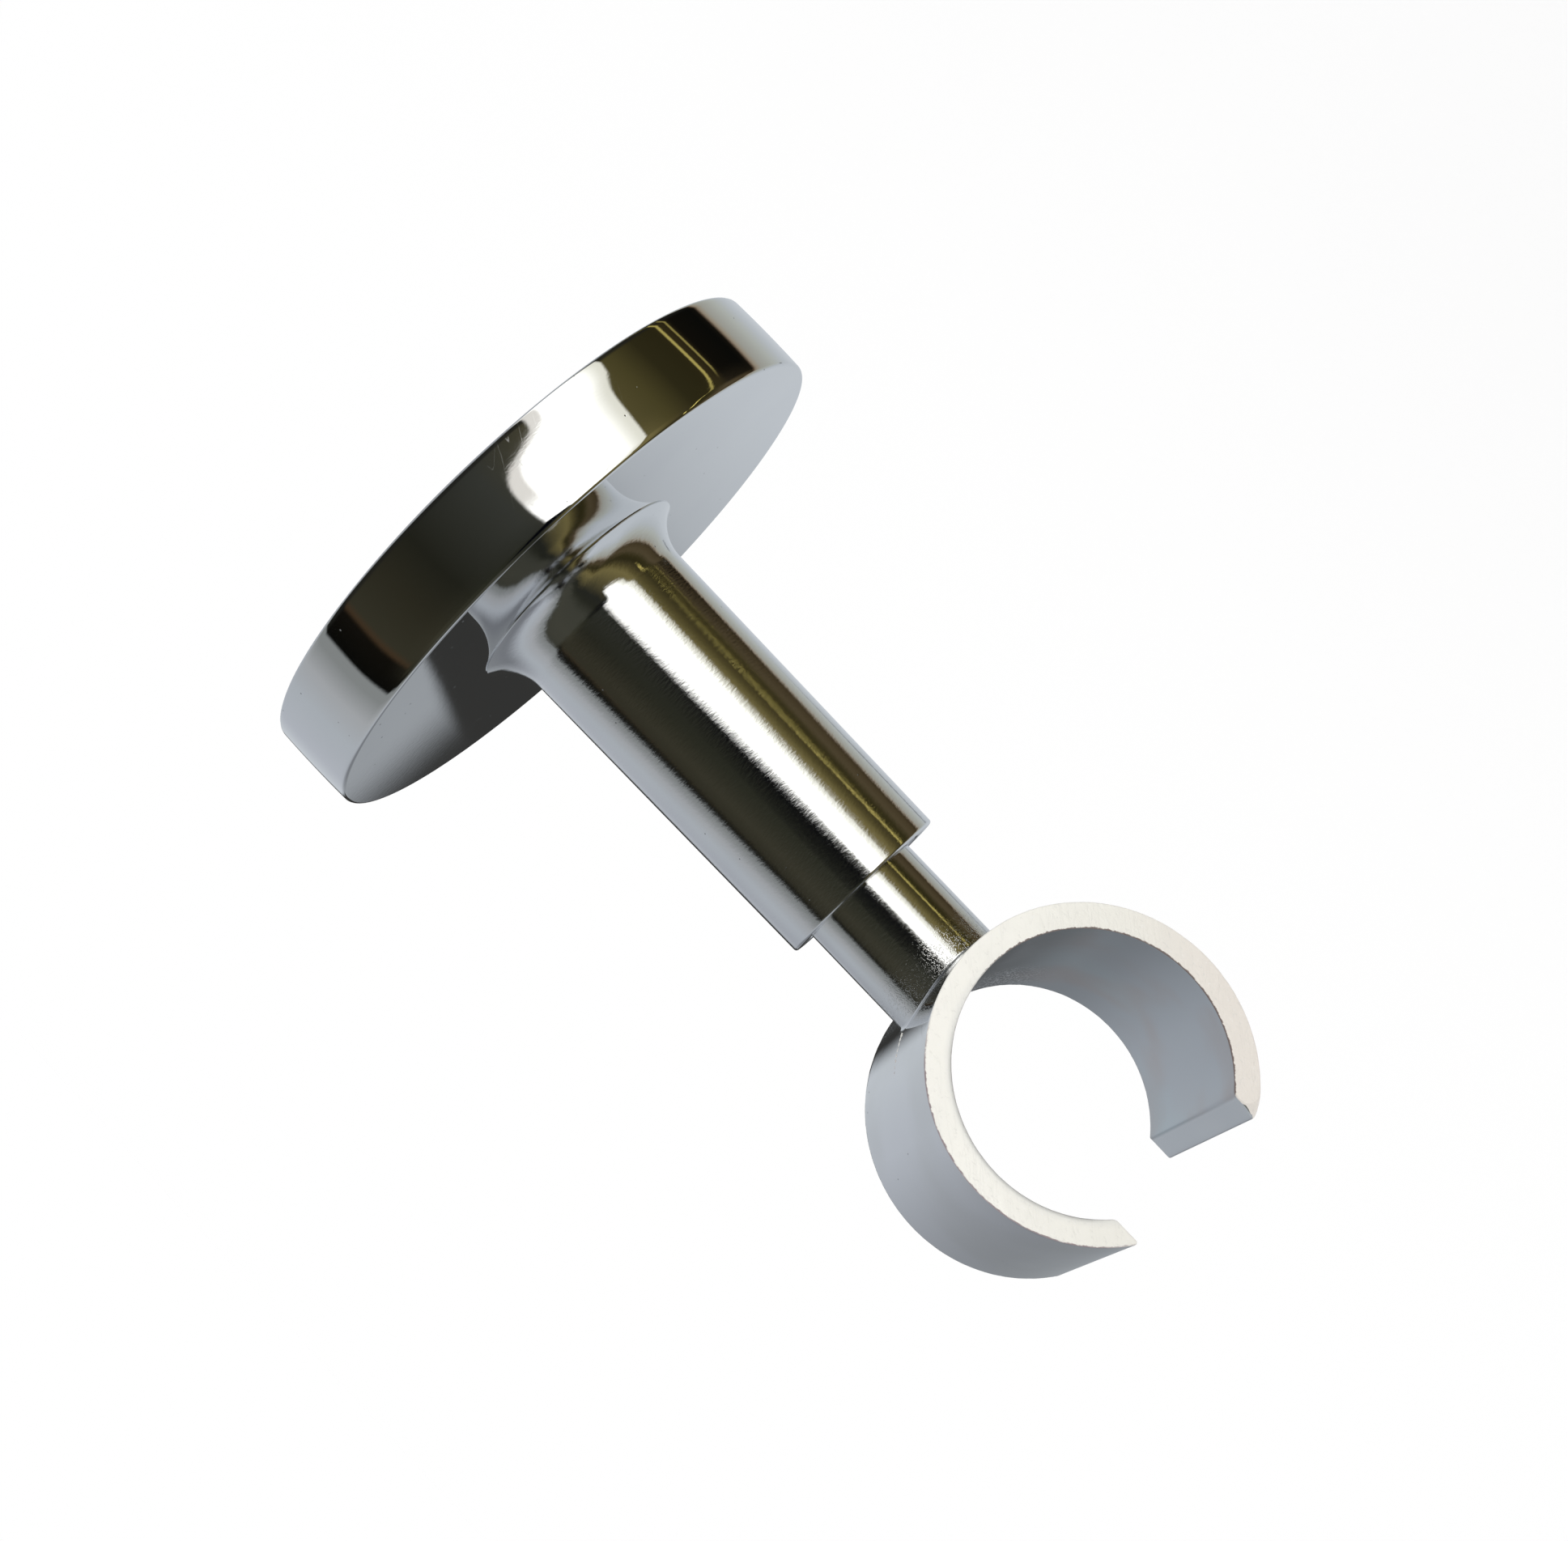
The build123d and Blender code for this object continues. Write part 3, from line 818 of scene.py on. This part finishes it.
def makeFlaredPost(materials):
    post = {
        "out": -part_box("post")[0].y,
        "foot": -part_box("cover_rose")[0].y,
        "mouthRadius": 9.75 * mm,
        "footRadius": 10.1 * mm,
        "flareRadius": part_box("post")[1].x,
        "flareLength": 5.0 * mm,
        "lip": 0.12 * mm,
        "seam": 0.06 * mm,
        "bore": 7.55 * mm,
        "boreBottom": 14.8 * mm,
        "tap": 3.05 * mm,
        "mouthEdge": 0.3 * mm,
        "clampHole": 2.55 * mm,
        "clampOut": 45.0 * mm,
        "flareSteps": 40,
    }
    flareStart = Vector((post["footRadius"], -post["foot"] - post["flareLength"], 0))
    flareEnd = Vector((post["flareRadius"], -post["foot"] - post["lip"], 0))
    side = (flareStart - Vector((post["mouthRadius"], -post["out"], 0))).normalized()
    outward = Vector((side.y, -side.x, 0))
    chord = flareEnd - flareStart
    bend = chord.length_squared / (2 * chord.dot(outward))  # radius of the arc tangent to the side
    centre = flareStart + bend * outward
    swing = (flareEnd - centre).angle(flareStart - centre)
    shape = bmesh.new()
    start = shape.verts.new(flareStart)
    arc = bmesh.ops.spin(
        shape, geom=[start], cent=centre, axis=-alongZ, angle=swing, steps=post["flareSteps"],
    )
    end = next(item for item in arc["geom_last"] if isinstance(item, bmesh.types.BMVert))
    verts = drawProfile(shape, [
        (post["flareRadius"] - post["seam"], post["foot"]), (post["tap"], post["foot"]),
        (post["tap"], post["boreBottom"]), (post["bore"], post["boreBottom"]), (post["bore"], post["out"]),
        (post["mouthRadius"], post["out"]),
    ])
    shape.edges.new((end, verts[0]))
    shape.edges.new((verts[-1], start))
    turn(shape)
    roundEdges(shape, rimEdges(shape, post["mouthRadius"], post["out"]), post["mouthEdge"], 5)
    roundEdges(shape, rimEdges(shape, post["bore"], post["out"]), post["mouthEdge"], 2)
    piece = finishPiece(shape, "flaredPost", materials, "wall_side", "post")
    low, high = -post["footRadius"] - mm, -post["bore"] + mm
    cutAway(piece, upwardDrill(post["clampHole"], post["clampOut"], low, high))
    smoothFaces(piece)
    print("flared post made")


# Pole ring with its stem

ring = {
    "half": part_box("pole_ring")[1].x,
    "slotHalf": 8.95 * mm,
    "crisp": 0.26 * mm,
    "worn": 0.9 * mm,  # inner corner of the upper end
    "dent": 1.1 * mm,  # outer corner of the lower end, at its near face only
    "dentDepth": 1.4 * mm,
    "filed": 0.8 * mm,  # inner corner of the lower end, fading to nothing at its far face
    "filedFrom": -2.0 * mm,
    "faceEdge": 0.15 * mm,
    "unevenEdge": 0.04 * mm,
    "wallMiddle": 16.0 * mm,
    "stemRadius": 6.85 * mm,
    "stemBack": -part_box("pole_ring")[1].y,
    "stemEdge": 0.8 * mm,
    "saddle": 0.26 * mm,
    "stemSides": 192,
    "patchCorner": 22,  # the side of the stem that points at the corner of the ring's patch
    "patchSteps": 10,
    "stepAngle": math.radians(1.5),
    "grooveHalf": 2.05 * mm,
    "grooveFloor": 5.05 * mm,
    "grooveOut": 44.5 * mm,
    "grooveLength": 27.1 * mm,
}


def onFlatEnd(face):
    return abs(face.normal.x) > 0.9999 and abs(face.calc_center_median().x) > ring["half"] - near


def cornerRounds(x, side):
    # the rounds of the slot's outer and inner corner at that place along the pole's axis
    if side > 0:
        return ring["crisp"], ring["worn"]
    nearFace = max(0.0, (x - ring["half"] + ring["dentDepth"]) / ring["dentDepth"])
    across = max(0.0, (x - ring["filedFrom"]) / (ring["half"] - ring["filedFrom"]))
    return ring["crisp"] + ring["dent"] * nearFace ** 2, ring["crisp"] + ring["filed"] * across


def endTurns():
    # where the plain outside and the plain bore of the ring stop, short of the corners' widest rounds
    reach = ring["slotHalf"] + 2 * ring["dent"] + ring["crisp"]
    return math.pi - math.asin(reach / ringRadius), math.pi - math.asin(reach / boreRadius)


def slotEndPath(x, side):
    # places down one end of the ring, from its outside round the slot's face to its bore, in the ring's plane
    outerRound, innerRound = cornerRounds(x, side)
    outHigh = ring["slotHalf"] + outerRound
    inHigh = ring["slotHalf"] + innerRound
    outCentre = Vector((-math.sqrt((ringRadius - outerRound) ** 2 - outHigh ** 2), outHigh))
    inCentre = Vector((-math.sqrt((boreRadius + innerRound) ** 2 - inHigh ** 2), inHigh))
    outAngle = math.atan2(outCentre.y, outCentre.x)
    inAngle = math.atan2(inCentre.y, inCentre.x)

    def arc(centre, radius, first, last, steps):
        turns = [first + (last - first) * step / steps for step in range(1, steps + 1)]
        return [centre + radius * Vector((math.cos(turn), math.sin(turn))) for turn in turns]

    middle = Vector((0, 0))
    path = arc(middle, ringRadius, endTurns()[0], outAngle, 5)
    path += arc(outCentre, outerRound, outAngle, 1.5 * math.pi, 8)
    face = inCentre.x - outCentre.x
    path += [Vector((outCentre.x + face * step / 7, ring["slotHalf"])) for step in range(1, 8)]
    path += arc(inCentre, innerRound, 1.5 * math.pi, inAngle + math.pi, 8)
    path += arc(middle, boreRadius, inAngle, endTurns()[1], 5)
    return path


def ontoRing(vert):
    # slides a corner along Y onto the outside of the ring
    vert.co.y = poleAxis.y + math.sqrt(ringRadius ** 2 - (vert.co.z - poleAxis.z) ** 2)


def drawOut(shape, edges):
    made = bmesh.ops.extrude_edge_only(shape, edges=edges)["geom"]
    newVerts = [item for item in made if isinstance(item, bmesh.types.BMVert)]
    madeEdges = [item for item in made if isinstance(item, bmesh.types.BMEdge)]
    return newVerts, [edge for edge in madeEdges if all(vert in newVerts for vert in edge.verts)]


def drawPatch(shape, patchHalf):
    # the stem, and the patch of the ring round it, from the seam out to a rectangle as wide as the ring. Its
    # long sides have more corners near the ring's ends
    stand = Matrix.Translation((0, -ring["stemBack"], poleAxis.z)) @ Matrix.Rotation(math.pi / 2, 4, "X")
    bmesh.ops.create_circle(
        shape, cap_ends=False, segments=ring["stemSides"], radius=ring["stemRadius"], matrix=stand,
    )
    verts, edges = drawOut(shape, shape.edges[:])
    spokes = {}
    for vert in verts:
        ontoRing(vert)
        flat = Vector((vert.co.x, 0, vert.co.z - poleAxis.z))
        reach = min(ring["half"] / max(abs(flat.x), near), patchHalf / max(abs(flat.z), near))
        rim = flat * reach
        share = rim.x / ring["half"]
        rim.x = ring["half"] * (0.3 * share + 0.7 * math.sin(share * math.pi / 2))
        spokes[vert] = (flat, rim)
    for step in range(1, ring["patchSteps"] + 1):
        last = {vert: spokes[vert] for vert in verts}
        verts, edges = drawOut(shape, edges)
        for vert in verts:
            old = next(end for end in (edge.other_vert(vert) for edge in vert.link_edges) if end in last)
            spokes[vert] = last[old]
            flat, rim = spokes[vert]
            place = flat.lerp(rim, step / ring["patchSteps"])
            vert.co.x, vert.co.z = place.x, poleAxis.z + place.z
            ontoRing(vert)
    return edges


def sweepRow(shape, row, angle):
    rowVerts = list({vert for edge in row for vert in edge.verts})
    made = bmesh.ops.spin(
        shape, geom=row + rowVerts, cent=poleAxis, axis=alongX, angle=angle,
        steps=round(abs(angle) / ring["stepAngle"]),
    )
    return [item for item in made["geom_last"] if isinstance(item, bmesh.types.BMEdge)]


def drawEnd(shape, row, side):
    # side is 1 for the end above the slot and -1 for the end below it
    paths = {}
    for step in range(len(slotEndPath(0, side))):
        verts, row = drawOut(shape, row)
        for vert in verts:
            if vert.co.x not in paths:
                paths[vert.co.x] = slotEndPath(vert.co.x, side)
            place = paths[vert.co.x][step]
            vert.co.y, vert.co.z = poleAxis.y + place.x, poleAxis.z + side * place.y
    return row


def closeRing(shape):
    # fills the flat ends, a little uneven along their edges, and the back of the stem, and rounds all edges.
    # Returns the faces of the ends with their rounds
    for vert in shape.verts:
        if abs(vert.co.x) > ring["half"] - near:
            out = vert.co - poleAxis
            out.x = 0
            waver = noise.noise(vert.co * 700) + 0.6 * noise.noise(vert.co * 2100)
            inward = math.copysign(ring["unevenEdge"], out.length - ring["wallMiddle"])
            vert.co -= out.normalized() * inward * abs(waver)
    bmesh.ops.edgeloop_fill(shape, edges=[edge for edge in shape.edges if edge.is_boundary])
    bmesh.ops.recalc_face_normals(shape, faces=shape.faces)

    def onSeam(vert):
        fromStem = math.hypot(vert.co.x, vert.co.z - poleAxis.z) - ring["stemRadius"]
        return abs(fromStem) < near and vert.co.y < -ring["stemBack"] - mm

    def onBack(vert):
        return abs(vert.co.y + ring["stemBack"]) < near

    roundEdges(shape, [edge for edge in shape.edges if all(map(onSeam, edge.verts))], ring["saddle"], 5)
    roundEdges(shape, [edge for edge in shape.edges if all(map(onBack, edge.verts))], ring["stemEdge"], 1)
    endEdges = {edge for face in shape.faces if onFlatEnd(face) for edge in face.edges}
    rounds = roundEdges(shape, list(endEdges), ring["faceEdge"], 3)
    return set(rounds) | {face for face in shape.faces if onFlatEnd(face)}


def makePoleRing(materials):
    patchHalf = ring["half"] * math.tan(ring["patchCorner"] * fullTurn / ring["stemSides"])
    shape = bmesh.new()
    edges = drawPatch(shape, patchHalf)

    def rowAt(height):
        return [
            edge for edge in edges
            if all(abs(vert.co.z - poleAxis.z - height) < near for vert in edge.verts)
        ]

    outTurn, boreTurn = endTurns()
    sweep = outTurn - math.asin(patchHalf / ringRadius)
    upper = drawEnd(shape, sweepRow(shape, rowAt(patchHalf), sweep), 1)
    drawEnd(shape, sweepRow(shape, rowAt(-patchHalf), -sweep), -1)
    sweepRow(shape, upper, -2 * boreTurn)
    bmesh.ops.remove_doubles(shape, verts=shape.verts, dist=near)
    filed = closeRing(shape)

    # the filed ends, the bore and the slot's faces each take their own finish
    for face in shape.faces:
        middle = face.calc_center_median() - poleAxis
        radius = math.hypot(middle.y, middle.z)
        inTheBore = radius < boreRadius + 0.1 * mm
        onTheSlot = middle.y < 0 and abs(middle.z) < ring["slotHalf"] + 0.5 * ring["crisp"]
        onTheCorner = middle.y < 0 and middle.z < 0 and radius < ringRadius - 0.02 * mm
        dented = onTheCorner and not (inTheBore or onTheSlot) and middle.x > ring["half"] - ring["dentDepth"]
        if dented or face in filed:
            face.material_index = 1
        elif inTheBore or onTheSlot:
            face.material_index = 2
    piece = finishPiece(shape, "poleRing", materials, "ring_side", "pole_ring")
    groove = upwardDrill(
        ring["grooveHalf"], ring["grooveOut"], -ring["stemRadius"] - mm, -ring["grooveFloor"],
        ring["grooveLength"] - 2 * ring["grooveHalf"],
    )
    cutAway(piece, groove)
    smoothFaces(piece)
    print("pole ring made")


def makePartingFlash(materials):
    # the thin fin that the casting mould left at the middle of the ring, below the top of the stem
    flash = {
        "width": 0.40 * mm, "height": 0.12 * mm, "sunk": 0.03 * mm, "steps": 40,
        "start": math.radians(25.5), "length": math.radians(17), "drift": 0.3 * mm, "waver": 0.05 * mm,
    }
    shape = bmesh.new()
    foot = ringRadius - flash["sunk"]
    verts = []
    for share in (-1, -0.5, 0, 0.5, 1):
        high = foot + (flash["height"] + flash["sunk"]) * (1 - share * share)
        verts.append(shape.verts.new((0.5 * flash["width"] * share, poleAxis.y + high, poleAxis.z)))
    edges = [shape.edges.new(pair) for pair in zip(verts, verts[1:] + verts[:1])]
    bmesh.ops.rotate(shape, verts=verts, cent=poleAxis, matrix=Matrix.Rotation(flash["start"], 3, "X"))
    bmesh.ops.spin(
        shape, geom=verts + edges, cent=poleAxis, axis=alongX, angle=flash["length"],
        steps=flash["steps"],
    )
    bmesh.ops.edgeloop_fill(shape, edges=[edge for edge in shape.edges if edge.is_boundary])

    # it fades out downwards, broken into dashes, and wanders a little
    for vert in shape.verts:
        out = vert.co - poleAxis
        out.x = 0
        turned = math.atan2(out.z, out.y)
        share = (turned - flash["start"]) / flash["length"]
        fade = max(0.0, 1 - share) ** 0.5
        broken = 1.5 * share * abs(math.sin(26 * share)) ** 3
        uneven = max(0.0, 0.8 + 0.7 * noise.noise(Vector((turned * 90, 0.3, 0))) - broken)
        vert.co += out.normalized() * (out.length - foot) * (fade * uneven - 1)
        vert.co.x += flash["waver"] * noise.noise(Vector((turned * 40, 5.1, 0))) + flash["drift"] * share
    piece = finishPiece(shape, "partingFlash", materials, "ring_side")
    smoothFaces(piece)
    print("parting flash made")


# Everything together

bpy.context.scene.view_settings.view_transform = "Standard"
makeStudioWorld()
makeFloor()
makeCamera()
groups = {
    "ripple": makeRippleGroup(),
    "pits": makePitGroup(),
    "scratches": makeScratchGroup(),
    "smears": makeSmearGroup(),
    "poleAxis": makePoleAxisGroup(),
    "postAxis": makePostAxisGroup(),
}
chrome = polishedChrome(groups)
stemChrome = ringChrome(groups)
filed = filedEnds(groups)
zinc = zincCasting(groups)
steel = platedSteel(groups)
print("finishes made")

makeCoverRose([chrome])
makeFlaredPost([chrome])
makePoleRing([stemChrome, filed, boreChrome(groups)])
makePartingFlash([filed])

for name, node in frame["nodes"].items():
    node.data.materials.clear()
    node.data.materials.append(zinc if name == "wall_plate" else steel)
